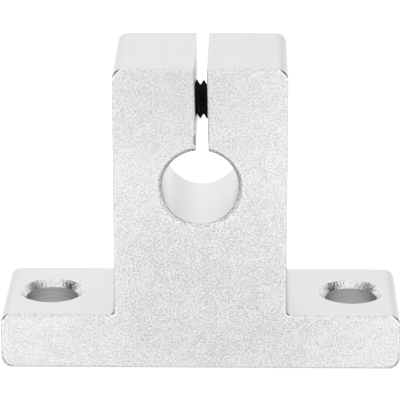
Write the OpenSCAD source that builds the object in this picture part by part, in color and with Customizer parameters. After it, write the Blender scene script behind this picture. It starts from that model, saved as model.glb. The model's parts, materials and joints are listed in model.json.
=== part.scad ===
// Shaft support block with a clamp screw.
// One aluminium block, cut from an extruded upside-down T, stands on a foot with two mounting
// holes. Its upright is bored for a round shaft and slit from the top down into the bore. A socket
// head cap screw crosses the slit and draws the two sides together, so that they grip the shaft.
//
// Millimetres. X runs along the foot, Y along the shaft and Z up from the foot's underside.
// The origin is the middle of the underside.

/* [Shaft bore] */
// Diameter of the bore, which is the diameter of the shaft it clamps
shaft_d = 8; // [5:0.5:12]
// Height of the shaft's centre above the underside
shaft_height = 20; // [15:0.5:40]
// Chamfer at each mouth of the bore
bore_chamfer = 0.5; // [0.2:0.1:1]
// Width of the slit from the top into the bore
slit_width = 1.3; // [0.6:0.1:2.5]

/* [Block] */
// Length of the block along the shaft
block_depth = 14; // [12:0.5:30]
// Width of the upright
upright_width = 18; // [16:0.5:22]
// Thickness of the foot
foot_height = 6; // [4:0.25:10]
// Radius of the section's outer corners
corner_r = 1.2; // [0.5:0.1:1.5]
// Radius of the fillets between the foot and the upright
fillet_r = 0.6; // [0.3:0.1:1.5]
// Broken edge all the way round the two cut faces, and at plain hole mouths
edge_break = 0.2; // [0.1:0.05:0.4]

/* [Mounting holes] */
// Distance between the two mounting holes
hole_pitch = 32; // [30:0.5:50]
// Distance from each mounting hole's centre to the near end of the foot
hole_to_end = 5; // [4.75:0.25:10]
// Diameter of the mounting holes
hole_d = 5.5; // [3:0.1:6]
// Chamfer at the top of each mounting hole
hole_chamfer = 0.7; // [0.3:0.1:1]

/* [Clamp screw] */
// Outside diameter of the screw's thread
screw_d = 4; // [3:0.5:5]
// Diameter of the screw's head
head_d = 7; // [5.5:0.1:8.5]
// Height of the screw's head
head_height = 4; // [2.5:0.1:5]
// Chamfer round the head's top edge
head_chamfer = 0.4; // [0.1:0.1:0.8]
// Width across the flats of the hex socket
socket_width = 3; // [2:0.1:4]
// Depth of the hex socket's flats
socket_depth = 2; // [1:0.1:3]
// Chamfer on the end of the thread
tip_chamfer = 0.5; // [0.2:0.1:0.8]

/* [Clamp screw seat] */
// Metal between the bore and the hole for the screw
metal_over_bore = 1.25; // [0.5:0.05:4]
// Metal between the screw head's counterbore and the top
metal_over_head = 1.5; // [0.8:0.1:4]
// Depth of the head's outer face below the side of the upright
head_inset = 0.5; // [0:0.1:1.5]
// Distance from the screw's end to the other side of the upright
tip_inset = 1.5; // [0.5:0.1:3]
// Gap round the head in its counterbore
head_clearance = 0.3; // [0.1:0.05:0.6]
// Gap round the thread in the plain half of its hole
plain_clearance = 0.25; // [0.1:0.05:0.5]
// Gap round the thread in the tapped half of its hole
tapped_clearance = 0.05; // [0.02:0.01:0.1]
// Chamfer at the mouth of the tapped half
tapped_chamfer = 0.4; // [0.1:0.1:0.8]

/* [Hidden] */
$fn = 96;
HEX = 6;
// How far cutters run on past the faces that they cut
past = 0.5;

half_depth = block_depth/2;
side_x = upright_width/2;
foot_width = hole_pitch + 2*hole_to_end;

// The screw lies just clear of the bore, and the top just clear of the screw's head
counterbore_d = head_d + 2*head_clearance;
plain_hole_d = screw_d + 2*plain_clearance;
tapped_hole_d = screw_d + 2*tapped_clearance;
screw_height = shaft_height + shaft_d/2 + metal_over_bore + plain_hole_d/2;
block_height = screw_height + counterbore_d/2 + metal_over_head;

// The head seats here, at the bottom of its counterbore
seat_x = side_x - head_inset - head_height;
screw_length = seat_x + side_x - tip_inset;

// The drilled centre below the hex socket has a 120 degree point
socket_point = socket_width/2*tan(30);

// ---------------------------------------------------------------- shapes

// Rod from cut face to cut face, along Y, with both ends eased.
module eased_rod(r)
    rotate([90, 0, 0])
        rotate_extrude()
            polygon([
                [0, -half_depth],
                [r - edge_break, -half_depth],
                [r, -half_depth + edge_break],
                [r, half_depth - edge_break],
                [r - edge_break, half_depth],
                [0, half_depth]
            ]);

// Outline as deep as the block, from a to b the other way, with its four corners eased.
module eased_outline(a, b)
    polygon([
        [a, -half_depth + edge_break],
        [a + edge_break, -half_depth],
        [b - edge_break, -half_depth],
        [b, -half_depth + edge_break],
        [b, half_depth - edge_break],
        [b - edge_break, half_depth],
        [a + edge_break, half_depth],
        [a, half_depth - edge_break]
    ]);

// Plate from cut face to cut face with rounded corners. Its eased edge runs round them unbroken:
// one bar spans it sideways, one spans it upwards, and an eased rod fills each corner.
module eased_plate(width, low, high) {
    x = width/2 - corner_r;
    translate([-x, 0, 0])
        rotate([0, -90, 180])
            linear_extrude(2*x)
                eased_outline(low, high);
    translate([0, 0, low + corner_r])
        linear_extrude(high - low - 2*corner_r)
            eased_outline(-width/2, width/2);
    for (side = [-1, 1], z = [low + corner_r, high - corner_r])
        translate([side*x, 0, z])
            eased_rod(corner_r);
}

// Cutter for a round hole along Z from face to face, with a 45 degree chamfer at each mouth.
module chamfered_hole(d, low, high, low_chamfer, high_chamfer)
    rotate_extrude()
        polygon([
            [0, low - past],
            [d/2 + low_chamfer + past, low - past],
            [d/2, low + low_chamfer],
            [d/2, high - high_chamfer],
            [d/2 + high_chamfer + past, high + past],
            [0, high + past]
        ]);

// Fillet in the corner between the foot's top and the upright's side at +X, eased like the rest.
module foot_fillet() {
    reach = fillet_r + edge_break;
    translate([side_x, 0, foot_height])
        difference() {
            translate([-reach, -half_depth, -reach])
                cube([reach + fillet_r, block_depth, reach + fillet_r]);
            translate([fillet_r, 0, fillet_r])
                rotate([90, 0, 0])
                    chamfered_hole(2*fillet_r, -half_depth, half_depth, edge_break, edge_break);
        }
}

// ---------------------------------------------------------------- block

// The cut length of extrusion, before it is machined. The upright starts inside the foot.
module extruded_section() {
    eased_plate(foot_width, 0, foot_height);
    eased_plate(upright_width, foot_height/4, block_height);
    foot_fillet();
    mirror([1, 0, 0])
        foot_fillet();
}

module shaft_bore()
    translate([0, 0, shaft_height])
        rotate([90, 0, 0])
            chamfered_hole(shaft_d, -half_depth, half_depth, bore_chamfer, bore_chamfer);

module slit()
    translate([-slit_width/2, -half_depth - past, shaft_height])
        cube([slit_width, block_depth + 2*past, block_height - shaft_height + past]);

module mounting_holes()
    for (side = [-1, 1])
        translate([side*hole_pitch/2, 0, 0])
            chamfered_hole(hole_d, 0, foot_height, edge_break, hole_chamfer);

// Counterbore and plain hole from the +X side as far as the slit, then the tapped half.
module clamp_screw_hole()
    translate([0, 0, screw_height])
        rotate([0, 90, 0]) {
            cylinder(h = seat_x + past, d = plain_hole_d);
            chamfered_counterbore();
            rotate([180, 0, 0])
                tapped_half();
        }

module chamfered_counterbore()
    rotate_extrude()
        polygon([
            [0, seat_x],
            [counterbore_d/2, seat_x],
            [counterbore_d/2, side_x - edge_break],
            [counterbore_d/2 + edge_break + past, side_x + past],
            [0, side_x + past]
        ]);

module tapped_half()
    rotate_extrude()
        polygon([
            [0, 0],
            [tapped_hole_d/2, 0],
            [tapped_hole_d/2, side_x - tapped_chamfer],
            [tapped_hole_d/2 + tapped_chamfer + past, side_x + past],
            [0, side_x + past]
        ]);

module block()
    color([0.87, 0.87, 0.88])
        difference() {
            extruded_section();
            shaft_bore();
            slit();
            mounting_holes();
            clamp_screw_hole();
        }

// ---------------------------------------------------------------- clamp screw

// Cap screw with its head's underside at the origin and its thread along +Z.
module cap_screw()
    difference() {
        rotate_extrude()
            polygon([
                [0, -head_height],
                [head_d/2 - head_chamfer, -head_height],
                [head_d/2, -head_height + head_chamfer],
                [head_d/2, 0],
                [screw_d/2, 0],
                [screw_d/2, screw_length - tip_chamfer],
                [screw_d/2 - tip_chamfer, screw_length],
                [0, screw_length]
            ]);
        translate([0, 0, -head_height - past])
            cylinder(h = socket_depth + past, d = socket_width/cos(30), $fn = HEX);
        translate([0, 0, -head_height + socket_depth])
            cylinder(h = socket_point, d1 = socket_width, d2 = 0);
    }

module clamp_screw()
    color([0.07, 0.07, 0.08])
        translate([seat_x, 0, screw_height])
            rotate([0, -90, 0])
                cap_screw();

block();
clamp_screw();
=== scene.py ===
# %% [markdown]
# # A shaft support block, dressed for the studio
#
# The block holds the end of a round steel shaft. It is a length of aluminium section, cut off,
# blasted, bored, slit and drilled, and a black cap screw closes the slit round the shaft. The exact
# solids come packed from the CAD source. Here they get the things a solid model leaves out: eased
# and nicked edges, the marks of each machining step, a cut thread, a knurled head, and studio
# light.

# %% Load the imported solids
import json
import math

import bmesh
import bpy
from mathutils import Matrix, Vector


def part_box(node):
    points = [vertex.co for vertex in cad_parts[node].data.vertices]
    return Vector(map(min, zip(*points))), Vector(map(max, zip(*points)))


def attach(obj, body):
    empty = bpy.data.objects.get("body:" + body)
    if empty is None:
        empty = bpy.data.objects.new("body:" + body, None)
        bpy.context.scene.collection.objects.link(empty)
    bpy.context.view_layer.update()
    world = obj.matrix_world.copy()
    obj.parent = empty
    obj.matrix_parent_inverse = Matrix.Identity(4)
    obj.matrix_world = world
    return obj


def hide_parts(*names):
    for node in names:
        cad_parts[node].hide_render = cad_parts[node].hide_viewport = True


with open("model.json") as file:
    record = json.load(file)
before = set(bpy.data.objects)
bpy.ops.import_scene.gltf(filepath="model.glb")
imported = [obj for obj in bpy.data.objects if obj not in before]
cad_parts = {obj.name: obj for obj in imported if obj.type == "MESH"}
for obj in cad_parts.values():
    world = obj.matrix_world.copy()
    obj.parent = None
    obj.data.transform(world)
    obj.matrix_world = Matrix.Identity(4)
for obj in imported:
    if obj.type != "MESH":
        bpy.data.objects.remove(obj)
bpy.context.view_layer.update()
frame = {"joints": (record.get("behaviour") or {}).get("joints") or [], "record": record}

# %% [markdown]
# ## The places
#
# The pieces below are shaped in millimetres, because every drawing of such a block is, and each
# mesh is brought down to metres once it is whole. The outside box, the bore, the mounting holes and
# the screw's line could be typed in again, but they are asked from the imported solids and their
# record, so that the dressing follows them. What the record doesn't say, such as the width of the
# upright, is named in the cell that first needs it.

# %% Read the places from the frame
MM = 1000.0


def in_mm(corners):
    return [Vector(corner)*MM for corner in corners]


low, high = in_mm(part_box("block"))
screw_low, screw_high = in_mm(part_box("clamp_screw"))
mounts = {mount["name"]: mount for mount in frame["record"]["mounts"]}
SHAFT_R = mounts["shaft_bore"]["dims"]["r_mm"]
SHAFT_Z = mounts["shaft_bore"]["pos_m"][2]*MM
HOLE_R = mounts["foot_bolts"]["dims"]["hole_r_mm"]
HOLE_X = mounts["foot_bolts"]["dims"]["spacing_x_mm"]/2
SCREW_Z = frame["joints"][0]["pos_m"][2]*MM
print("shaft centre %.1f mm up, screw %.1f mm up, feet drilled at x = +/-%.1f mm"
      % (SHAFT_Z, SCREW_Z, HOLE_X))

# %% [markdown]
# ## How a finish is made
#
# A finish is a small graph of nodes that ends in one shader. What is the same all over a surface is
# set on the shader's own sockets, and patterns are then linked to its colour, roughness and relief.
# The nodes could be added and wired one line at a time. A helper that sets or links any socket
# while it adds the node keeps a whole finish down to a few lines. The first finish to be started is
# that of the two cut faces: metal, and frosted by the blasting.

# %% Start the finish of the blasted cut faces
def shader_of(material):
    return material.node_tree.nodes["Principled BSDF"]


def finish_named(name, color, metallic, roughness, tint=1.0, gloss=0.5):
    """A new material, with its plain values on the shader. A tint dulls the shallow glances."""
    material = bpy.data.materials.new(name)
    material.use_nodes = True
    sockets = shader_of(material).inputs
    sockets["Base Color"].default_value = (*color, 1)
    sockets["Metallic"].default_value = metallic
    sockets["Roughness"].default_value = roughness
    sockets["Specular Tint"].default_value = (tint, tint, tint, 1)
    sockets["Specular IOR Level"].default_value = gloss
    return material


def node(material, kind, settings=None, **sockets):
    """Adds a node. A socket is given a value, or another node's output to be linked to."""
    made = material.node_tree.nodes.new("ShaderNode" + kind)
    for key, value in (settings or {}).items():
        setattr(made, key, value)
    for key, value in sockets.items():
        socket = made.inputs[int(key[1:])] if key[0] == "i" and key[1:].isdigit() \
            else made.inputs[key.replace("_", " ")]
        if isinstance(value, bpy.types.NodeSocket):
            material.node_tree.links.new(value, socket)
        else:
            socket.default_value = value
    return made


FROSTED = (0.77, 0.77, 0.775)
blasted = finish_named("blasted_cut_face", FROSTED, 1.0, 0.5)
print("finish started:", blasted.name, "in the colour", FROSTED)

# %% [markdown]
# ## The grain of the blasted faces
#
# The bar is sawn to length and its two cut faces are blasted with fine grit, which leaves a pale,
# dense grain of tiny dents, less than a fifth of a millimetre across. Displaced geometry at that
# grain would need millions of faces, so it is drawn in the shader: one noise at the size of a dent
# and one at the size of a cluster are added up to one height. A pattern starts from Object
# coordinates, which are metres here. A Mapping node of scale 1000 turns them to millimetres, and
# every later number can be read as a real size.

# %% Noise in real millimetres, and the grain
def in_millimetres(material, stretch=(1, 1, 1), centre=(0, 0, 0)):
    """Object coordinates in millimetres, from a centre, squeezed along the axes that need it."""
    scale = [MM*value for value in stretch]
    place = [-a*b for a, b in zip(centre, stretch)]
    coordinates = node(material, "TexCoord").outputs["Object"]
    return node(material, "Mapping", Vector=coordinates, Location=place, Scale=scale).outputs[0]


def noise(material, vector, size, detail=2.0, roughness=0.5):
    """Noise whose blotches are about that many millimetres across."""
    return node(material, "TexNoise", Vector=vector, Scale=1/size, Detail=detail,
                Roughness=roughness).outputs["Fac"]


def calculate(material, operation, a, b):
    return node(material, "Math", {"operation": operation}, i0=a, i1=b).outputs[0]


DENT, CLUSTER = 0.18, 1.1
DENT_SHARE = 0.86
everywhere = in_millimetres(blasted)
dents = noise(blasted, everywhere, DENT, detail=1.5, roughness=0.6)
clusters = noise(blasted, everywhere, CLUSTER)
grain = calculate(blasted, "ADD", calculate(blasted, "MULTIPLY", dents, DENT_SHARE),
                  calculate(blasted, "MULTIPLY", clusters, 1 - DENT_SHARE))
print("grain: dents of", DENT, "mm in clusters of", CLUSTER, "mm")

# %% [markdown]
# ## Painted shade low in the middle
#
# The dents are painted darker low in the middle of the face and hardly darker elsewhere. That
# darkening is painted shade: there the face mirrors the floor close to the block, which lies in
# the block's shade. One flat strength would look printed, so the strength is a soft patch, clouded
# by a wide noise. A Gradient texture in its spherical mode is 1 at the centre
# of its coordinates and 0 at a distance of 1, and a Mapping node that moves and squeezes those
# coordinates puts such a patch anywhere on the piece, as wide as it has to be.

# %% Darken the dents, more in the middle than at the rim
def around_point(material, centre, reach):
    """1 at a point of the piece, falling to 0 at a reach of so many millimetres along each axis."""
    vector = in_millimetres(material, [1/distance for distance in reach], centre)
    return node(material, "TexGradient", {"gradient_type": "SPHERICAL"}, Vector=vector).outputs[1]


def remap(material, value, low_in, high_in, low_out, high_out):
    return node(material, "MapRange", Value=value, From_Min=low_in, From_Max=high_in,
                To_Min=low_out, To_Max=high_out).outputs["Result"]


CLOUD = 7.0
clouds = noise(blasted, everywhere, CLOUD, detail=1.0)
# Painted shade: this patch darkens the dents low in the middle, where the face mirrors the shaded
# floor
middle = around_point(blasted, (1, 0, 8), (19, 40, 16))
shade_and_clouds = calculate(blasted, "ADD", remap(blasted, middle, 0, 0.7, 0, 1),
                  remap(blasted, clouds, 0.35, 0.65, -0.15, 0.15))
darkest_dents = remap(blasted, shade_and_clouds, 0, 1, 0.75, 0.60)
lightest = remap(blasted, shade_and_clouds, 0, 1, 1.03, 0.97)
dented = remap(blasted, grain, 0.34, 0.60, darkest_dents, lightest)
print("blasting clouded by", CLOUD, "mm, with", len(blasted.node_tree.nodes), "nodes so far")

# %% [markdown]
# ## The blasted faces, finished
#
# Two marks go on top. The upper part of the face is rubbed a little duller than the rest, and one
# lip of the slit is made darker in a small spot, just above the bore. On real metal a dent is
# at once darker, rougher and lower. So the same grain that has tinted the colour also
# drives the relief and the roughness, rather than a new noise for each. Bump is chosen for the
# relief: it only tilts the light, which is all that a dent this shallow does.

# %% Marks on top, then colour, relief and roughness from the same grain
def product(material, *factors):
    result = factors[0]
    for factor in factors[1:]:
        result = calculate(material, "MULTIPLY", result, factor)
    return result


def dark_slit_spot(material):
    """A factor that falls to 0.45 at a small dark spot on one lip of the slit."""
    mark = around_point(material, (-0.52, -7, 25.3), (0.26, 0.8, 0.8))
    return remap(material, mark, 0.1, 0.4, 1.0, 0.45)


def linked(material, value, socket):
    material.node_tree.links.new(value, shader_of(material).inputs[socket])


def shaded(material, color, factor):
    """Multiplies the base colour by a grey factor, so that pits and streaks darken it."""
    mix = node(material, "Mix", {"data_type": "RGBA", "blend_type": "MULTIPLY"}, Factor=1.0)
    mix.inputs[6].default_value = (*color, 1)
    material.node_tree.links.new(factor, mix.inputs[7])
    linked(material, mix.outputs[2], "Base Color")


def relief(material, height, depth):
    """Bump from a height of 0 to 1 that stands for that many millimetres."""
    bump = node(material, "Bump", Strength=1.0, Distance=depth/MM, Height=height)
    linked(material, bump.outputs["Normal"], "Normal")


DENT_DEPTH = 0.045
rubbed = remap(blasted, around_point(blasted, (-2, 0, 31), (14, 40, 12)), 0, 0.8, 1.0, 0.88)
shaded(blasted, FROSTED, product(blasted, dented, rubbed, dark_slit_spot(blasted)))
relief(blasted, grain, DENT_DEPTH)
linked(blasted, remap(blasted, dents, 0.3, 0.7, 0.58, 0.44), "Roughness")
print(blasted.name, "has", len(blasted.node_tree.nodes), "nodes, and dents up to", DENT_DEPTH,
      "mm deep")

# %% [markdown]
# ## Which way a face looks
#
# The faces that look left and right are given painted shade, a shade darker than the faces that
# look up. The rounded corners of the eased edges are given a painted highlight where they start to
# turn and painted shade where they have turned away. Each could be a finish of its own with a hard
# border, but then a rounded corner would change in steps.
# gives a soft change instead: its sideways part, its upward part, and the two multiplied, which is
# more than nothing only on a corner. This block never turns, so its normals stay true.

# %% Helpers: factors from the direction of a face
def facing(material):
    """How far a surface faces sideways, and how far upwards."""
    parts = node(material, "SeparateXYZ", Vector=node(material, "NewGeometry").outputs["Normal"])
    return calculate(material, "ABSOLUTE", parts.outputs["X"], 0), parts.outputs["Z"]


def sideways(material, least):
    """Painted shade: a factor that falls to the least where a surface faces left or right."""
    return remap(material, facing(material)[0], 0.2, 0.7, 1.0, least)


def cornered(material):
    """How far a surface faces sideways and upwards at once, as only a rounded corner does."""
    across, upwards = facing(material)
    return calculate(material, "MULTIPLY", across, upwards)


print("factors by direction: facing, sideways, cornered")

# %% [markdown]
# ## The extruded faces
#
# The top, the sides, the foot and its underside keep the skin of the extrusion, etched to a soft
# satin. What pattern there is runs along the section, which is the Y axis: the die leaves faint
# lines that are very long and very thin. An anisotropic shader could stretch the highlights, but it
# wouldn't draw a line. A noise squeezed along Y does, hardly darker than the rest, and a broad soft
# noise keeps the sheen from being the same all over.

# %% Finish: satin extruded faces
SKIN = (0.80, 0.80, 0.805)
DIE_LINE = 0.35
satin = finish_named("satin_extruded_face", SKIN, 1.0, 0.3, tint=0.85)
die_lines = noise(satin, in_millimetres(satin, (1, 0.02, 1)), DIE_LINE, detail=3.0)
haze = noise(satin, in_millimetres(satin), 4.0, detail=3.0)
height = node(satin, "SeparateXYZ", Vector=in_millimetres(satin)).outputs["Z"]
# The sideways factor is painted shade on the faces that look left and right
shaded(satin, SKIN, product(satin, remap(satin, height, 6, 20, 0.985, 1.0),
                            remap(satin, die_lines, 0.3, 0.7, 0.975, 1.0),
                            sideways(satin, 0.91)))
relief(satin, die_lines, 0.0005)
linked(satin, remap(satin, haze, 0.3, 0.7, 0.28, 0.34), "Roughness")
print(satin.name, "has", len(satin.node_tree.nodes), "nodes, and die lines of", DIE_LINE, "mm")

# %% [markdown]
# ## The bored wall
#
# The shaft bore is finished by a boring tool, which leaves a fine, even wall of bare metal. It is
# smoother and brighter than the etched skin round it, so it mirrors the light and the dark of the
# studio more strongly. The feed of the tool draws rings round the axis. They could be a Wave
# texture, but that is too regular for a worn tool: a noise that hardly changes across the axis and
# changes fast along it gives rings of uneven width.

# %% Finish: bored wall
BARE = (0.92, 0.92, 0.925)
FEED = 0.12
bored = finish_named("bored_wall", BARE, 1.0, 0.3, tint=0.72)
feed = noise(bored, in_millimetres(bored, (0.03, 1, 0.03)), FEED)
shaded(bored, BARE, remap(bored, feed, 0.3, 0.7, 0.95, 1.0))
relief(bored, feed, 0.001)
print(bored.name, "has", len(bored.node_tree.nodes), "nodes, and a feed of", FEED, "mm")

# %% [markdown]
# ## The drilled walls
#
# A twist drill tears more than it cuts, so the walls of the mounting holes and of the screw's hole
# are duller and rougher than the bore, with deeper rings. The same recipe is used with the squeeze
# on the other axes, because the mounting holes are drilled from above, and with a greyer metal. The
# screw's hole, which is drilled from the side, borrows it: its rings run the wrong way there, but
# it is too dark inside for them to show.

# %% Finish: drilled wall
DULL = (0.83, 0.83, 0.835)
drilled = finish_named("drilled_wall", DULL, 1.0, 0.4, tint=0.65)
rings = noise(drilled, in_millimetres(drilled, (0.05, 0.05, 1)), 0.16)
shaded(drilled, DULL, remap(drilled, rings, 0.3, 0.7, 0.82, 1.0))
relief(drilled, rings, 0.008)
print(drilled.name, "has", len(drilled.node_tree.nodes), "nodes")

# %% [markdown]
# ## The countersinks
#
# The cone at the mouth of a mounting hole is cut by a countersink, which chatters: the cone is
# bright, but mottled with small facets that glint each their own way. Real facets could be cut into
# the mesh, but they are only a quarter of a millimetre across. A sharp noise with a deep relief on
# a glossy metal scatters the glints as well.

# %% Finish: bright countersinks
PALE = (0.78, 0.78, 0.785)
CHATTER, CHATTER_DEPTH = 0.28, 0.07
bright = finish_named("bright_countersink", PALE, 1.0, 0.16)
mottle = noise(bright, in_millimetres(bright, (1, 1, 0.5)), CHATTER, roughness=0.6)
shaded(bright, PALE, remap(bright, mottle, 0.38, 0.5, 0.88, 0.98))
relief(bright, mottle, CHATTER_DEPTH)
print(bright.name, "has", len(bright.node_tree.nodes), "nodes, and chatter of", CHATTER, "mm")

# %% [markdown]
# ## The sawn slit
#
# A slitting saw runs through the upright along Y and leaves shallow scratches in that direction on
# both walls. They are drawn as the die lines are, with a shorter stretch, since a saw tooth
# scratches for only a centimetre or so before the next one takes over.

# %% Finish: sawn slit
sawn = finish_named("sawn_slit", PALE, 1.0, 0.28, tint=0.9)
scratches = noise(sawn, in_millimetres(sawn, (1, 0.08, 1)), 0.12, detail=3.0)
shaded(sawn, PALE, remap(sawn, scratches, 0.3, 0.7, 0.9, 1.0))
relief(sawn, scratches, 0.001)
print(sawn.name, "has", len(sawn.node_tree.nodes), "nodes")

# %% [markdown]
# ## The eased edges
#
# Blasting and handling wear the sharp rims of the cut faces to a narrow, bright, nicked band. Along
# a rounded corner of the section the band is given a painted highlight where it starts to turn and
# painted shade where it has turned away. The lower corners of the foot are given painted shade as
# well, the last fraction of a millimetre above the floor is painted dark as shade, and the band is
# painted darker where it faces left or right. A vertex colour painted on the mesh could hold all
# this, but it would need a mesh as fine as the nicks. So every part of it is a factor, from a
# noise, from the place or from the direction of the face, and the product of them all tints the
# metal.

# %% Finish: eased edges
WORN = (0.72, 0.72, 0.725)
NICK, NICK_DEPTH = 0.3, 0.02
eased = finish_named("eased_edge", WORN, 1.0, 0.2)
nicks = noise(eased, in_millimetres(eased), NICK, detail=3.0, roughness=0.65)
places = node(eased, "SeparateXYZ", Vector=in_millimetres(eased)).outputs
outermost = remap(eased, calculate(eased, "ABSOLUTE", places["X"], 0), 19.5, 20.4, 0, 1)
# Painted shade on the lower corners of the foot, next to the floor
foot_corner_shade = product(eased, outermost, remap(eased, places["Z"], 0.3, 2.2, 1, 0),
                  remap(eased, nicks, 0.4, 0.56, 0.75, 0.3))
corner = cornered(eased)
# The nicks are wear. The height factor is painted shade near the floor, sideways paints shade on
# faces that look left or right, and the two corner factors are a painted highlight and painted
# shade on rounded corners
tone = product(eased, remap(eased, nicks, 0.36, 0.5, 0.76, 1.0),
               remap(eased, places["Z"], 0.05, 0.3, 0.7, 1.0),
               sideways(eased, 0.84), dark_slit_spot(eased),
               remap(eased, corner, 0.02, 0.06, 1.0, 1.36),
               remap(eased, corner, 0.11, 0.16, 1.0, 0.4),
               calculate(eased, "SUBTRACT", 1.0, foot_corner_shade))
shaded(eased, WORN, tone)
relief(eased, nicks, NICK_DEPTH)
print(eased.name, "has", len(eased.node_tree.nodes), "nodes, and nicks of", NICK, "mm")

# %% [markdown]
# ## The mouth of the bore
#
# The bore is deburred by hand at both ends. That leaves a narrow sloping ring, bright and specked.
# Its flanks and its lowest stretch are given painted shade, a little darker than the rest. The ring
# is nearly all one slope, so its place round the bore is known from the direction it faces, and no
# mask has to be painted.

# %% Finish: mouth of the bore
mouth = finish_named("bore_mouth", BARE, 1.0, 0.26)
specks = noise(mouth, in_millimetres(mouth), 0.2, roughness=0.6)
# Painted shade: the ring's lowest stretch and its flanks are painted darker
lowest = remap(mouth, facing(mouth)[0], 0.05, 0.35, 0.86, 1.0)
shaded(mouth, BARE, product(mouth, lowest, sideways(mouth, 0.84),
                            remap(mouth, specks, 0.38, 0.56, 0.66, 1.0)))
relief(mouth, specks, 0.045)

FINISHES = [blasted, satin, eased, bored, bright, drilled, sawn, mouth]
BLASTED, SATIN, EASED, BORED, BRIGHT, DRILLED, SAWN, MOUTH = range(len(FINISHES))
print("finishes of the block:", [finish.name for finish in FINISHES])

# %% [markdown]
# ## Keeping a mesh clean
#
# Each shape below is cleaned in the same way. Its points, edges and faces are first numbered by
# where they lie, because a Boolean may number them in another order on the next run, and what is
# merged into what depends on that order. Then doubled points are merged and slivers dissolved. Only
# after that are the faces turned outwards, since a seam that is still open would mislead that step.

# %% Helpers: number a mesh by place, and clean it
SORTING = Vector((1.0, 0.7321, 0.4177))
MERGE = 1e-4


def in_order(bm):
    """Numbers a mesh along one slanting line, so that it comes out the same on every run."""
    bm.verts.sort(key=lambda vert: vert.co.dot(SORTING))
    bm.edges.sort(key=lambda edge: (edge.verts[0].co + edge.verts[1].co).dot(SORTING))
    bm.faces.sort(key=lambda face: face.calc_center_median().dot(SORTING))


def tidy(bm):
    in_order(bm)
    bmesh.ops.remove_doubles(bm, verts=bm.verts, dist=MERGE)
    bmesh.ops.dissolve_degenerate(bm, edges=bm.edges, dist=MERGE)
    bmesh.ops.recalc_face_normals(bm, faces=bm.faces)


print("points closer than", MERGE, "mm are merged")

# %% [markdown]
# ## The cut length of section
#
# The block begins as an upside-down T. Its eight corners are drawn as one face on the near cut
# face, and a vertex bevel rounds them in the flat, as the die does: the six outer corners to one
# radius and the two inner ones to a smaller fillet. The face is then pushed through the depth of
# the block. Two joined boxes would give the same T, but their rounded corners would have to be
# worked out where they meet.

# %% The section, rounded in the flat and pushed through
HALF_UPRIGHT = 9.0
FOOT_TOP = 6.0
CORNER_R = 1.2
FILLET_R = 0.55
section = bmesh.new()
corners = [(low.x, low.z), (high.x, low.z), (high.x, FOOT_TOP), (HALF_UPRIGHT, FOOT_TOP),
           (HALF_UPRIGHT, high.z), (-HALF_UPRIGHT, high.z), (-HALF_UPRIGHT, FOOT_TOP),
           (low.x, FOOT_TOP)]
outline = [section.verts.new((x, low.y, z)) for x, z in corners]
section.faces.new(outline)
inner = [outline[3], outline[6]]
outer = [vert for vert in outline if vert not in inner]
for verts, radius, segments in ((outer, CORNER_R, 16), (inner, FILLET_R, 10)):
    bmesh.ops.bevel(section, geom=verts, offset=radius, offset_type="OFFSET", segments=segments,
                    profile=0.5, affect="VERTICES", material=-1)
pushed = bmesh.ops.extrude_face_region(section, geom=section.faces[:], use_keep_orig=True)
far = [item for item in pushed["geom"] if isinstance(item, bmesh.types.BMVert)]
bmesh.ops.translate(section, verts=far, vec=(0, high.y - low.y, 0))
tidy(section)
print("section has", len(section.faces), "faces before its rims are eased")

# %% [markdown]
# ## Its eased rims
#
# A sawn and blasted edge is never sharp: light catches on a small round between the cut face and
# the skin. A Bevel modifier could add it at the end, but it would also round the edges of the
# holes, and they are wanted crisper. So only the two rims are bevelled, in three narrow steps,
# before anything is cut. The bevel gives its new faces the finish of an eased edge by itself.

# %% Ease both rims and keep the section as an object
EASE = 0.3


def on_cut_face(item):
    """True if an edge or a face lies wholly in the near cut face or wholly in the far one."""
    return any(all(abs(vert.co.y - y) < MERGE for vert in item.verts) for y in (low.y, high.y))


def as_object(bm, name, materials=()):
    """Keeps a mesh as an object at the origin, with its place in the mesh itself."""
    mesh = bpy.data.meshes.new(name)
    bm.to_mesh(mesh)
    bm.free()
    for material in materials:
        mesh.materials.append(material)
    piece = bpy.data.objects.new(name, mesh)
    bpy.context.scene.collection.objects.link(piece)
    return piece


for face in section.faces:
    face.material_index = BLASTED if on_cut_face(face) else SATIN
rims = [edge for edge in section.edges if on_cut_face(edge)]
bmesh.ops.bevel(section, geom=rims, offset=EASE, offset_type="OFFSET", segments=3, profile=0.5,
                affect="EDGES", material=EASED, clamp_overlap=True)
tidy(section)
block = as_object(section, "support_block", FINISHES)
print("eased", len(rims), "rim edges by", EASE, "mm")

# %% [markdown]
# ## Cutting the block
#
# Each hole is a cutter that has the shape of its tool and carries the finish which that tool
# leaves. An exact Boolean takes the cutter away and hands its finish to the faces that it cuts, so
# nothing needs to be sorted by hand. The cut is applied at once instead of staying a modifier,
# since the next cut works best on a mesh whose many-sided faces have been split into triangles.

# %% A cut with its cutter
def combined(target, tool, operation="DIFFERENCE"):
    """Applies one exact Boolean, which hands on the tool's finishes, and removes the tool."""
    modifier = target.modifiers.new("cut", "BOOLEAN")
    modifier.operation, modifier.solver, modifier.object = operation, "EXACT", tool
    modifier.material_mode = "TRANSFER"
    whole = target.evaluated_get(bpy.context.evaluated_depsgraph_get())
    mesh = bpy.data.meshes.new_from_object(whole)
    target.modifiers.clear()
    old, target.data = target.data, mesh
    bpy.data.meshes.remove(old)
    bpy.data.objects.remove(tool)
    bm = bmesh.new()
    bm.from_mesh(mesh)
    in_order(bm)
    wide = [face for face in bm.faces if len(face.verts) > 4]
    bmesh.ops.triangulate(bm, faces=wide, quad_method="BEAUTY", ngon_method="BEAUTY")
    tidy(bm)
    bm.to_mesh(mesh)
    bm.free()


print("cuts are taken from", block.name, "with its", len(block.data.polygons), "faces")

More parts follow.
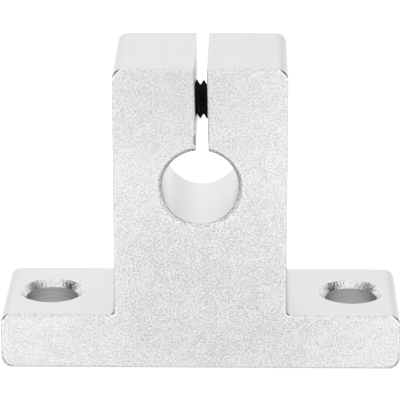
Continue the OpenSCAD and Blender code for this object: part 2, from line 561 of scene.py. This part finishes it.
# %% [markdown]
# ## Turned cutters
#
# Bores, countersinks and the screw's head are all turned shapes, so one helper makes them the way a
# lathe would: a profile of (distance along, radius) points is spun once round its axis. The profile
# begins and ends on the axis, so the solid is closed, and the doubled points at the seam and the
# poles are merged before the faces are turned outwards. A stack of cylinders and cones would do,
# but a profile holds every chamfer in one list. Each stretch of it can have its own finish, which
# is looked up from where a face's middle lies.

# %% Helpers: spin a profile, and aim the result
def chain(bm, points):
    """An open row of edges through the points."""
    verts = [bm.verts.new(point) for point in points]
    return verts, [bm.edges.new(pair) for pair in zip(verts, verts[1:])]


def turned(profile, finishes, steps=128):
    """A solid spun round its own X axis from (along, radius) points, with a finish a stretch."""
    bm = bmesh.new()
    verts, edges = chain(bm, [(along, 0, radius) for along, radius in profile])
    bmesh.ops.spin(bm, geom=verts + edges, cent=(0, 0, 0), axis=(1, 0, 0), angle=2*math.pi,
                   steps=steps, use_merge=True)
    tidy(bm)
    middles = [((a[0] + b[0])/2, (a[1] + b[1])/2) for a, b in zip(profile, profile[1:])]
    for face in bm.faces:
        middle = face.calc_center_median()
        where = (middle.x, math.hypot(middle.y, middle.z))
        nearest = min(range(len(middles)), key=lambda i: math.dist(middles[i], where))
        face.material_index = finishes[nearest]
    return bm


def aimed(bm, axis, at):
    """Turns a shape from the X axis to another one and carries it to its place."""
    turn = Vector((1, 0, 0)).rotation_difference(Vector(axis)).to_matrix()
    bmesh.ops.rotate(bm, verts=bm.verts, cent=(0, 0, 0), matrix=turn)
    bmesh.ops.translate(bm, verts=bm.verts, vec=at)
    return bm


trial = turned([(0, 0), (0, 1), (2, 1), (2, 0)], [BORED]*3)
print("a trial plug of radius 1 mm and length 2 mm holds %.2f cubic mm"
      % trial.calc_volume(signed=True))
trial.free()

# %% [markdown]
# ## The shaft bore
#
# The bore runs right through the upright. At each end its edge is broken by a sloping ring, half a
# millimetre deep, whose own two edges are rounded over a few hundredths and which bulges by a hair
# half way. A plain chamfer would show a line of one brightness, and it is those small rounds that
# give the rim its white and its dark line. The profile is drawn for the near half and mirrored for
# the far one, and the cutter reaches past both cut faces, because an exact Boolean likes clear
# overlaps.

# %% Cut the shaft bore
HALF_DEPTH = high.y
BORE_CHAMFER = 0.5
LIP = 0.045
RUB = 0.025
ROUNDING = 0.26
PAST = 1.0
BORE_STEPS = 192
near_half = [(-HALF_DEPTH - PAST, 0), (-HALF_DEPTH - PAST, SHAFT_R + BORE_CHAMFER + 2*PAST),
             (-HALF_DEPTH, SHAFT_R + BORE_CHAMFER + RUB),
             (-HALF_DEPTH + RUB, SHAFT_R + BORE_CHAMFER - RUB),
             (-HALF_DEPTH + ROUNDING, SHAFT_R + ROUNDING),
             (-HALF_DEPTH + BORE_CHAMFER - LIP, SHAFT_R + LIP),
             (-HALF_DEPTH + BORE_CHAMFER, SHAFT_R + LIP/4),
             (-HALF_DEPTH + BORE_CHAMFER + LIP, SHAFT_R)]
bore_profile = near_half + [(-along, radius) for along, radius in reversed(near_half)]
near_finishes = [EASED, EASED, MOUTH, MOUTH, MOUTH, EASED, BORED]
bore_finishes = near_finishes + [BORED] + near_finishes[::-1]
bore = aimed(turned(bore_profile, bore_finishes, BORE_STEPS), (0, 1, 0), (0, 0, SHAFT_Z))
combined(block, as_object(bore, "bore_cutter", FINISHES))
print("bored to", 2*SHAFT_R, "mm:", len(block.data.polygons), "faces")

# %% [markdown]
# ## The slit
#
# One saw cut, from the top down into the bore, lets the screw draw the upright together. The slit
# could have been part of the section's outline, but it is sawn after the bore on the real block,
# and as a cutter it can have its own eased lips. It is drawn from above as a thin bar that flares
# at both cut faces, and then raised past the top. No saw runs dead true: this one leans by about a
# degree and is a quarter of a degree off the axis, which shows against the bore.

# %% Saw the slit
SLIT_HALF = 0.65
SLIT_X = 0.03
SLIT_LIP = 0.1
SAW_LEAN = -1.2
SAW_SKEW = -0.25
slit = bmesh.new()
flare = SLIT_LIP + PAST
near_side = [(SLIT_HALF + flare, -HALF_DEPTH - PAST), (SLIT_HALF, -HALF_DEPTH + SLIT_LIP),
             (SLIT_HALF, HALF_DEPTH - SLIT_LIP), (SLIT_HALF + flare, HALF_DEPTH + PAST)]
around = near_side + [(-x, y) for x, y in reversed(near_side)]
floor_of_cut = slit.faces.new([slit.verts.new((x + SLIT_X, y, SHAFT_Z)) for x, y in around])
raised = bmesh.ops.extrude_face_region(slit, geom=[floor_of_cut], use_keep_orig=True)
upper = [item for item in raised["geom"] if isinstance(item, bmesh.types.BMVert)]
bmesh.ops.translate(slit, verts=upper, vec=(0, 0, high.z + PAST - SHAFT_Z))
bmesh.ops.recalc_face_normals(slit, faces=slit.faces)
bmesh.ops.rotate(slit, verts=slit.verts, cent=(0, 0, high.z),
                 matrix=Matrix.Rotation(math.radians(SAW_LEAN), 3, "Y"))
bmesh.ops.rotate(slit, verts=slit.verts, cent=(0, low.y, 0),
                 matrix=Matrix.Rotation(math.radians(SAW_SKEW), 3, "Z"))
for face in slit.faces:
    lip = abs(face.calc_center_median().y) > HALF_DEPTH/2
    face.material_index = EASED if lip else SAWN
combined(block, as_object(slit, "slit_cutter", FINISHES))
print("slit by", 2*SLIT_HALF, "mm:", len(block.data.polygons), "faces")

# %% [markdown]
# ## The mounting holes
#
# Two bolts through the foot hold the block down. Each hole is drilled from above and countersunk,
# and its lower edge is only just broken. A cylinder and a cone would do, in two cuts. One profile
# does it in one, with a finish for each ring of it: the drilled wall between two bright cones. The
# cone starts a hair wider at the top, as if the edge of the countersink were rubbed, so that its
# rim catches a thin line of light.

# %% Drill and countersink the foot
HOLE_CHAMFER = 0.7
HOLE_STEPS = 160
hole_profile = [(low.z - PAST, 0), (low.z - PAST, HOLE_R + EASE + PAST), (low.z + EASE, HOLE_R),
                (FOOT_TOP - HOLE_CHAMFER, HOLE_R),
                (FOOT_TOP - RUB, HOLE_R + HOLE_CHAMFER - RUB),
                (FOOT_TOP, HOLE_R + HOLE_CHAMFER + 2*RUB), (FOOT_TOP + PAST, HOLE_R + 4*PAST),
                (FOOT_TOP + PAST, 0)]
hole_finishes = [BRIGHT, BRIGHT, DRILLED, BRIGHT, BRIGHT, BRIGHT, BRIGHT]
for x in (-HOLE_X, HOLE_X):
    hole = aimed(turned(hole_profile, hole_finishes, HOLE_STEPS), (0, 0, 1), (x, 0, 0))
    combined(block, as_object(hole, "hole_cutter", FINISHES))
print("drilled and countersunk:", len(block.data.polygons), "faces")

# %% [markdown]
# ## The screw's hole
#
# The cap screw goes in from the right. Its head sinks into a counterbore with a flat seat, its
# shank passes freely through the right half of the upright, and the left half is tapped, so that
# turning the screw pulls the two halves together. Counterbore and clearance hole are one stepped
# profile, and the plain bore of the tapped half is a second one that starts in the slit and ends
# just past the screw's tip, where the cut thread begins.

# %% Step the screw's hole from the right
SEAT_X = 4.5
COUNTERBORE_R = 3.8
PLAIN_R = 2.25
step_profile = [(0, 0), (0, PLAIN_R), (SEAT_X, PLAIN_R), (SEAT_X, COUNTERBORE_R),
                (HALF_UPRIGHT - EASE, COUNTERBORE_R),
                (HALF_UPRIGHT + PAST, COUNTERBORE_R + EASE + PAST), (HALF_UPRIGHT + PAST, 0)]
step_finishes = [DRILLED, DRILLED, DRILLED, DRILLED, BRIGHT, BRIGHT]
stepped = aimed(turned(step_profile, step_finishes), (1, 0, 0), (0, 0, SCREW_Z))
combined(block, as_object(stepped, "counterbore_cutter", FINISHES))

TAPPED_R = 2.05
TIP_GAP = 0.15
tapped_profile = [(screw_low.x - TIP_GAP, 0), (screw_low.x - TIP_GAP, TAPPED_R), (0, TAPPED_R),
                  (0, 0)]
tapped = aimed(turned(tapped_profile, [DRILLED]*3), (1, 0, 0), (0, 0, SCREW_Z))
combined(block, as_object(tapped, "tapped_cutter", FINISHES))
print("screw hole stepped:", len(block.data.polygons), "faces")

# %% [markdown]
# ## A thread
#
# A thread is a screw-shaped surface: one ridge that climbs by its pitch at every turn. A stack of
# rings would be easier and looks the same from far off, but close to, its ridges don't climb. Here
# a row of ridge profiles, longer than the rod, is spun one full turn while it moves along by one
# pitch. Its end then meets its own start one ridge further on, and merging the doubled points
# closes the helix. The rod is cut square at both ends, and each cut is filled with a cap.

# %% Helper: a helical rod
PITCH = 0.7
CREST_X = 0.31
CREST_HALF = 0.044
ROOT_HALF, ROOT_RISE = 0.06, 0.03
THREAD_STEPS = 96


def threaded_rod(minor, major, start, end, finish):
    """A right-handed thread along X, with a crest of its top line at x = CREST_X."""
    first = math.floor((start - CREST_X)/PITCH) - 2
    last = math.ceil((end - CREST_X)/PITCH) + 1
    shape = [(-CREST_HALF, major), (CREST_HALF, major), (PITCH/2 - ROOT_HALF, minor + ROOT_RISE),
             (PITCH/2, minor), (PITCH/2 + ROOT_HALF, minor + ROOT_RISE)]
    points = [(CREST_X + k*PITCH + along, 0, radius)
              for k in range(first, last + 1) for along, radius in shape]
    bm = bmesh.new()
    verts, edges = chain(bm, points)
    bmesh.ops.spin(bm, geom=verts + edges, cent=(0, 0, 0), axis=(1, 0, 0), angle=2*math.pi,
                   dvec=(PITCH/THREAD_STEPS, 0, 0), steps=THREAD_STEPS, use_merge=False)
    bmesh.ops.remove_doubles(bm, verts=bm.verts, dist=MERGE)
    for x, outward in ((start, -1), (end, 1)):
        cut = bmesh.ops.bisect_plane(bm, geom=bm.verts[:] + bm.edges[:] + bm.faces[:],
                                     plane_co=(x, 0, 0), plane_no=(outward, 0, 0),
                                     clear_outer=True)
        rim = [item for item in cut["geom_cut"] if isinstance(item, bmesh.types.BMEdge)]
        bmesh.ops.triangle_fill(bm, edges=rim, use_beauty=True)
    tidy(bm)
    for face in bm.faces:
        face.material_index = finish
    return bm


print("thread pitch", PITCH, "mm, in", THREAD_STEPS, "steps a turn")

# %% [markdown]
# ## The cut thread in the left flank
#
# Past the screw's tip the hole is empty, and there the cut thread can be seen from the left. It is
# cut by a helical rod that is a little bigger than the screw and keeps the same crests, so that the
# two threads are in step. A turned cone then breaks the first turn of it at the flank. Inside,
# round the screw itself, the hole stays plain: nobody sees it, and two threads that almost touch
# only invite clashes.

# %% Cut the thread past the screw's tip, and break its mouth
MINOR_R = 1.57
TAPPED_CHAMFER = 0.4
thread_tool = threaded_rod(MINOR_R + 0.08, TAPPED_R + 0.05, -HALF_UPRIGHT - PAST,
                           screw_low.x - TIP_GAP/2, DRILLED)
bmesh.ops.translate(thread_tool, verts=thread_tool.verts, vec=(0, 0, SCREW_Z))
combined(block, as_object(thread_tool, "thread_cutter", FINISHES))

break_end = -HALF_UPRIGHT + TAPPED_CHAMFER + TAPPED_R - MINOR_R
break_profile = [(-HALF_UPRIGHT - PAST, 0),
                 (-HALF_UPRIGHT - PAST, TAPPED_R + TAPPED_CHAMFER + PAST), (break_end, MINOR_R),
                 (break_end, 0)]
break_tool = aimed(turned(break_profile, [BRIGHT]*3), (1, 0, 0), (0, 0, SCREW_Z))
combined(block, as_object(break_tool, "thread_mouth_cutter", FINISHES))
print("thread cut:", len(block.data.polygons), "faces")

# %% [markdown]
# ## Finishing a piece
#
# Curved walls are made of narrow flat faces. Shading them smooth while keeping hard edges hard
# needs two things: edges sharper than a given angle are marked sharp, and a Weighted Normal
# modifier lets the large flat faces keep their own normals, so that no face looks dented beside a
# rounded corner. Flat neighbours of one finish are joined first, because thin triangles left by the
# cuts would tilt those normals. Last, the mesh is brought from millimetres to metres, the piece is
# put on the body it rides on, and the solid it stands for is hidden.

# %% Shade, scale to metres and place on a body
FLAT_DEGREES = 0.2


def completed(piece, body, node_name, sharp_degrees=30):
    bm = bmesh.new()
    bm.from_mesh(piece.data)
    tidy(bm)
    bmesh.ops.dissolve_limit(bm, angle_limit=math.radians(FLAT_DEGREES), verts=bm.verts,
                             edges=bm.edges, delimit={"MATERIAL"})
    bmesh.ops.scale(bm, verts=bm.verts, vec=(1/MM, 1/MM, 1/MM))
    for face in bm.faces:
        face.smooth = True
    for edge in bm.edges:
        edge.smooth = not edge.is_manifold or edge.calc_face_angle() < math.radians(sharp_degrees)
    open_edges = sum(not edge.is_manifold for edge in bm.edges)
    bm.to_mesh(piece.data)
    bm.free()
    modifier = piece.modifiers.new("flat faces first", "WEIGHTED_NORMAL")
    modifier.mode, modifier.weight, modifier.keep_sharp = "FACE_AREA", 100, True
    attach(piece, body)
    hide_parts(node_name)
    print(piece.name, "has", len(piece.data.polygons), "faces and", open_edges, "open edges")


completed(block, "block", "block")

# %% [markdown]
# ## The cap screw's finishes
#
# An M4 socket head cap screw draws the slit closed. It is bought in, blackened by oxide: dry and
# slightly glossy on the head, oily and deep black in the thread. Oxide is a thin dark film on
# steel. A black metal shader would mirror the studio too clearly, so the finish is a near-black
# non-metal with a soft gloss, and a cloudy noise stains its colour and its gloss together.

# %% Finishes: black oxide, dry on the head and oily in the thread
def oxide_finish(name, color, gloss, dry, wet):
    """Near-black, with soft cloudy stains that change its roughness from dry to wet."""
    material = finish_named(name, color, 0.0, dry, gloss=gloss)
    coordinates = in_millimetres(material)
    stains = noise(material, coordinates, 1.2, detail=3.0)
    pores = noise(material, coordinates, 0.08)
    shaded(material, color, remap(material, stains, 0.3, 0.7, 0.6, 1.0))
    relief(material, pores, 0.004)
    linked(material, remap(material, stains, 0.3, 0.7, wet, dry), "Roughness")
    return material


OXIDES = [oxide_finish("black_oxide", (0.022, 0.022, 0.024), 0.5, 0.42, 0.3),
          oxide_finish("oiled_thread", (0.03, 0.03, 0.031), 0.08, 0.65, 0.5)]
HEAD, THREAD = range(len(OXIDES))
print("finishes of the screw:", [finish.name for finish in OXIDES])

# %% [markdown]
# ## The threaded shank
#
# The thread is rolled onto the shank, up to the head, and the tip is chamfered so that it finds the
# hole. The helical rod has sharp, square ends, so it is made too long and then intersected with a
# turned blank that has the true length, the chamfer and the outer diameter. What is left of the rod
# is the thread, with its crests trimmed flat, as on a rolled screw.

# %% The threaded shank
THREAD_R = 2.0
TIP_CHAMFER = 0.5
INTO_HEAD = 0.5
shank = as_object(threaded_rod(MINOR_R, THREAD_R + 0.01, screw_low.x - PITCH, SEAT_X + PITCH,
                               THREAD), "clamp_cap_screw", OXIDES)
shank_profile = [(screw_low.x, 0), (screw_low.x, THREAD_R - TIP_CHAMFER),
                 (screw_low.x + TIP_CHAMFER, THREAD_R), (SEAT_X + INTO_HEAD, THREAD_R),
                 (SEAT_X + INTO_HEAD, 0)]
blank = turned(shank_profile, [THREAD]*4)
combined(shank, as_object(blank, "shank_blank", OXIDES), "INTERSECT")
print("shank threaded:", len(shank.data.polygons), "faces")

# %% [markdown]
# ## The knurled head
#
# The head is turned, with a small chamfer below and a crowned edge above, and its rim is knurled
# for fingers: straight ridges all round. A Displace modifier with a stripe texture could do it, but
# a handful of exact ridges is easier from the spin itself. It has four steps to a ridge, and every
# point of the rim that falls in a groove is moved inwards. A union joins head and shank.

# %% The knurled head
HEAD_R = 3.5
KNURLS = 48
KNURL_DEPTH = 0.12
ON_RIM = 0.01
GROOVE_FROM = 0.3
head_profile = [(SEAT_X, 0), (SEAT_X, HEAD_R - 0.25), (SEAT_X + 0.2, HEAD_R - 0.1),
                (SEAT_X + 0.35, HEAD_R), (screw_high.x - 0.75, HEAD_R),
                (screw_high.x - 0.45, HEAD_R - 0.1), (screw_high.x - 0.12, HEAD_R - 0.28),
                (screw_high.x, HEAD_R - 0.5), (screw_high.x, 0)]
head = turned(head_profile, [HEAD]*(len(head_profile) - 1), steps=4*KNURLS)
for vert in head.verts:
    radius = math.hypot(vert.co.y, vert.co.z)
    turns = math.atan2(vert.co.z, vert.co.y)*KNURLS/(2*math.pi)
    if radius > HEAD_R - ON_RIM and abs(turns % 1.0 - 0.5) > GROOVE_FROM:
        vert.co.yz = vert.co.yz*((HEAD_R - KNURL_DEPTH)/radius)
combined(shank, as_object(head, "head_blank", OXIDES), "UNION")
print("head knurled with", KNURLS, "ridges")

# %% [markdown]
# ## The socket
#
# The hexagon key goes into a six-sided socket with a shallow cone at its bottom, left by the drill
# that opened it, and a small lead-in at its mouth. All three are cut in turn. The six-sided cutter
# comes from the cone primitive with six segments, since a cone whose two radii are the same is a
# prism, and the key's size across the flats is turned into the radius of its corners.

# %% The socket, its drill cone and its lead-in
SOCKET_FLATS = 3.0
SOCKET_DEPTH = 2.0
SOCKET_R = SOCKET_FLATS/2/math.cos(math.pi/6)
CONE_DEPTH = 0.7
LEAD_IN = 0.2
socket = bmesh.new()
bmesh.ops.create_cone(socket, cap_ends=True, segments=6, radius1=SOCKET_R, radius2=SOCKET_R,
                      depth=SOCKET_DEPTH + PAST)
bmesh.ops.rotate(socket, verts=socket.verts, cent=(0, 0, 0),
                 matrix=Matrix.Rotation(math.pi/2, 3, "Y"))
bmesh.ops.translate(socket, verts=socket.verts,
                    vec=(screw_high.x + (PAST - SOCKET_DEPTH)/2, 0, 0))
combined(shank, as_object(socket, "socket_cutter", OXIDES))

bottom = screw_high.x - SOCKET_DEPTH
cone = turned([(bottom - CONE_DEPTH, 0), (bottom + 0.1, SOCKET_FLATS/2 - 0.1), (bottom + 0.2, 0)],
              [HEAD]*2, steps=48)
combined(shank, as_object(cone, "cone_cutter", OXIDES))
lead_x = screw_high.x - LEAD_IN
lead_in = turned([(lead_x, 0), (lead_x, SOCKET_FLATS/2 + 0.05),
                  (screw_high.x + PAST, SOCKET_FLATS/2 + 0.25 + PAST), (screw_high.x + PAST, 0)],
                 [HEAD]*3, steps=96)
combined(shank, as_object(lead_in, "lead_in_cutter", OXIDES))
shank.data.transform(Matrix.Translation((0, 0, SCREW_Z)))
completed(shank, "clamp_screw", "clamp_screw", 25)

# %% [markdown]
# ## The floor
#
# The block stands on a white sheet whose edge is never seen. A big disc under it is enough. White
# paper alone comes out grey beside bright metal, so it also glows a little of itself, which keeps
# it white and lights the undersides of the holes.

# %% The floor
FLOOR_R = 1.6
FLOOR_GLOW = 0.46
disc = bmesh.new()
bmesh.ops.create_circle(disc, cap_ends=True, radius=FLOOR_R, segments=96)
floor = as_object(disc, "studio_floor")
PAPER = (0.88, 0.88, 0.88)
paper = finish_named("white_paper", PAPER, 0.0, 0.9)
floor.data.materials.append(paper)
shader_of(paper).inputs["Emission Color"].default_value = (1, 1, 1, 1)
shader_of(paper).inputs["Emission Strength"].default_value = FLOOR_GLOW
print("floor of radius", FLOOR_R, "m, glowing at", FLOOR_GLOW)

# %% [markdown]
# ## The studio
#
# Bare metal has hardly a colour of its own: it shows what stands round it. In a product studio that
# is a white tent, with gaps and black flags that draw the dark lines along edges and in the bore.
# Lamps and cards could be placed as objects, but their shadows and their distances would need care.
# The tent is the world itself instead: bright all round, with soft round patches taken away in the
# directions where a real studio is open or flagged. Three of them stand on the left and the right
# alike, so both sides of the block are lit the same way. The plane between the two sides is turned
# by one degree, because the block doesn't stand quite square in its tent.

# %% The studio: a white tent with soft dark patches
WHITE_LEVEL, DARK_LEVEL, LEAST_LEVEL = 1.1, 0.1, 0.05
AZIMUTH = math.radians(0.987)
world = bpy.data.worlds.new("studio")
world.use_nodes = True
bpy.context.scene.world = world
direction = node(world, "TexCoord").outputs["Generated"]
parts = node(world, "SeparateXYZ", Vector=direction).outputs
across = node(world, "VectorMath", {"operation": "DOT_PRODUCT"}, i0=direction,
              i1=(math.cos(AZIMUTH), math.sin(AZIMUTH), 0)).outputs["Value"]
mirrored = node(world, "CombineXYZ", X=calculate(world, "ABSOLUTE", across, 0), Y=parts["Y"],
                Z=parts["Z"]).outputs[0]


def patch(vector, towards, inner, outer, level):
    """A soft round patch of the studio, from the angles in degrees where it is full and gone."""
    nearness = node(world, "VectorMath", {"operation": "DOT_PRODUCT"}, i0=vector,
                    i1=Vector(towards).normalized()).outputs["Value"]
    return remap(world, nearness, math.cos(math.radians(outer)), math.cos(math.radians(inner)),
                 0, level)


patches = [patch(mirrored, (0.66, 0.17, 0.72), 16, 22, DARK_LEVEL - WHITE_LEVEL),
           patch(mirrored, (0.82, 0.36, 0.46), 4, 18, -0.4),
           patch(mirrored, (0.80, 0.14, 0.58), 13, 19, -0.9),
           patch(direction, (0.30, 0.94, 0.15), 0, 20, -0.14)]
strength = WHITE_LEVEL
for dark in patches:
    strength = calculate(world, "ADD", strength, dark)
strength = calculate(world, "MAXIMUM", strength, LEAST_LEVEL)
backdrop = world.node_tree.nodes["Background"]
world.node_tree.links.new(strength, backdrop.inputs["Strength"])
backdrop.inputs["Color"].default_value = (1, 1, 1, 1)
print("studio level", WHITE_LEVEL, "less", len(patches), "soft dark patches")

# %% [markdown]
# ## The camera
#
# The block is seen from the front, almost square on and from a little above, through a long lens
# that keeps its edges nearly parallel. The camera could be aimed with a constraint, but its roll is
# simpler to give when its three axes are worked out: back is the way from the block to the camera,
# right lies level, up completes them, and a small roll turns both.

# %% The camera
ELEVATION, ROLL, DISTANCE = 19.428, 0.079, 278.528
LOOK_AT = Vector((-0.134, 0, 16.332))/MM
LENS, SENSOR = 236.88, 36.0
elevation = math.radians(ELEVATION)
back = Vector((math.sin(AZIMUTH)*math.cos(elevation), -math.cos(AZIMUTH)*math.cos(elevation),
               math.sin(elevation)))
right = (-back).cross(Vector((0, 0, 1))).normalized()
up = right.cross(-back)
roll = Matrix.Rotation(math.radians(ROLL), 3, -back)
right, up = roll @ right, roll @ up
camera = bpy.data.objects.new("camera", bpy.data.cameras.new("camera"))
bpy.context.scene.collection.objects.link(camera)
camera.data.lens, camera.data.sensor_width = LENS, SENSOR
camera.data.clip_start, camera.data.clip_end = 0.01, 5.0
camera.matrix_world = Matrix.Translation(LOOK_AT + back*DISTANCE/MM) @ Matrix(
    (right, up, back)).transposed().to_4x4()
bpy.context.scene.camera = camera
bpy.context.scene.view_settings.view_transform = "Standard"
print("camera", DISTANCE, "mm away,", ELEVATION, "degrees up, with a lens of", LENS, "mm")
